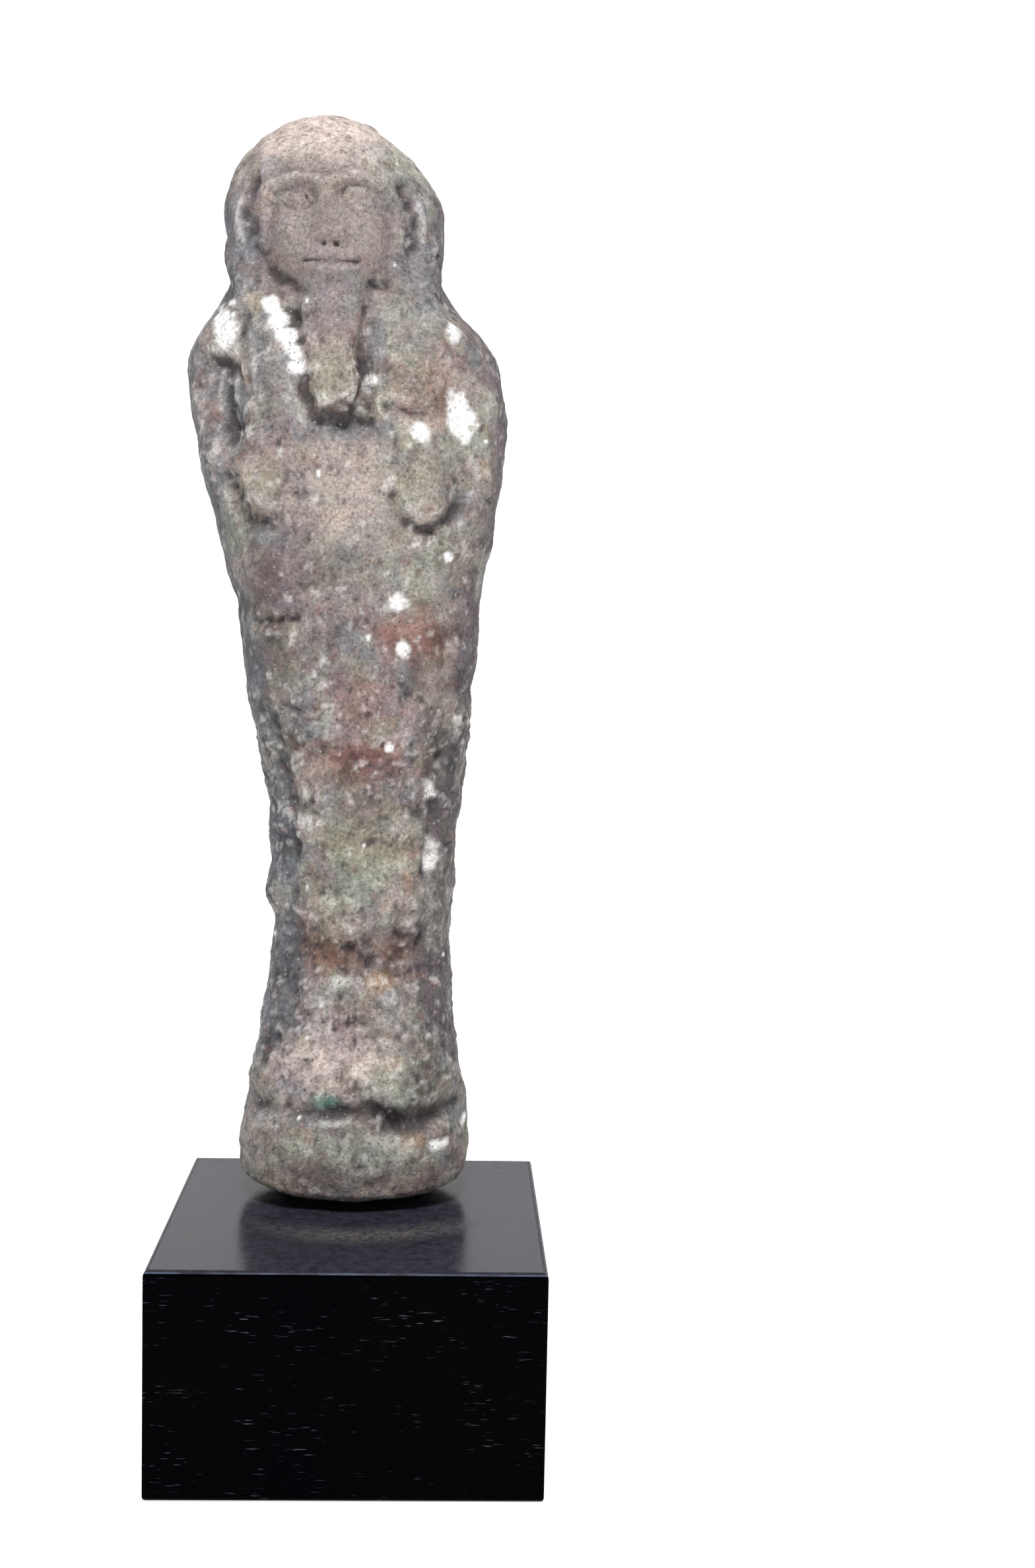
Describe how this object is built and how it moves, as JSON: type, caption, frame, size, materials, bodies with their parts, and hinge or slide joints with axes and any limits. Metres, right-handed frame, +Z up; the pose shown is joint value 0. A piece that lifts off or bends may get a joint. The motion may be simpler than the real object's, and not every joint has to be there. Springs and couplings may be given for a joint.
{
  "type": "ushabti figurine on a wooden block",
  "caption": "Mummy-shaped funerary figurine with a plain wig, straight beard and folded arms, eroded and pitted, standing on a small black wooden block.",
  "frame": {"origin": "middle of the block's underside", "axes": "+Z up through the block to the figure's crown, -Y the way the figure faces, +X to its left"},
  "size_m": [0.0382, 0.0382, 0.1348],
  "materials": {
    "faience": "matte, gritty and weathered, with worn patches of pale green glaze",
    "black_wood": "satin black lacquer over open straight grain"
  },
  "bodies": {
    "root": {"ushabti_figure": "faience", "wooden_block": "black_wood"}
  },
  "joints": []
}
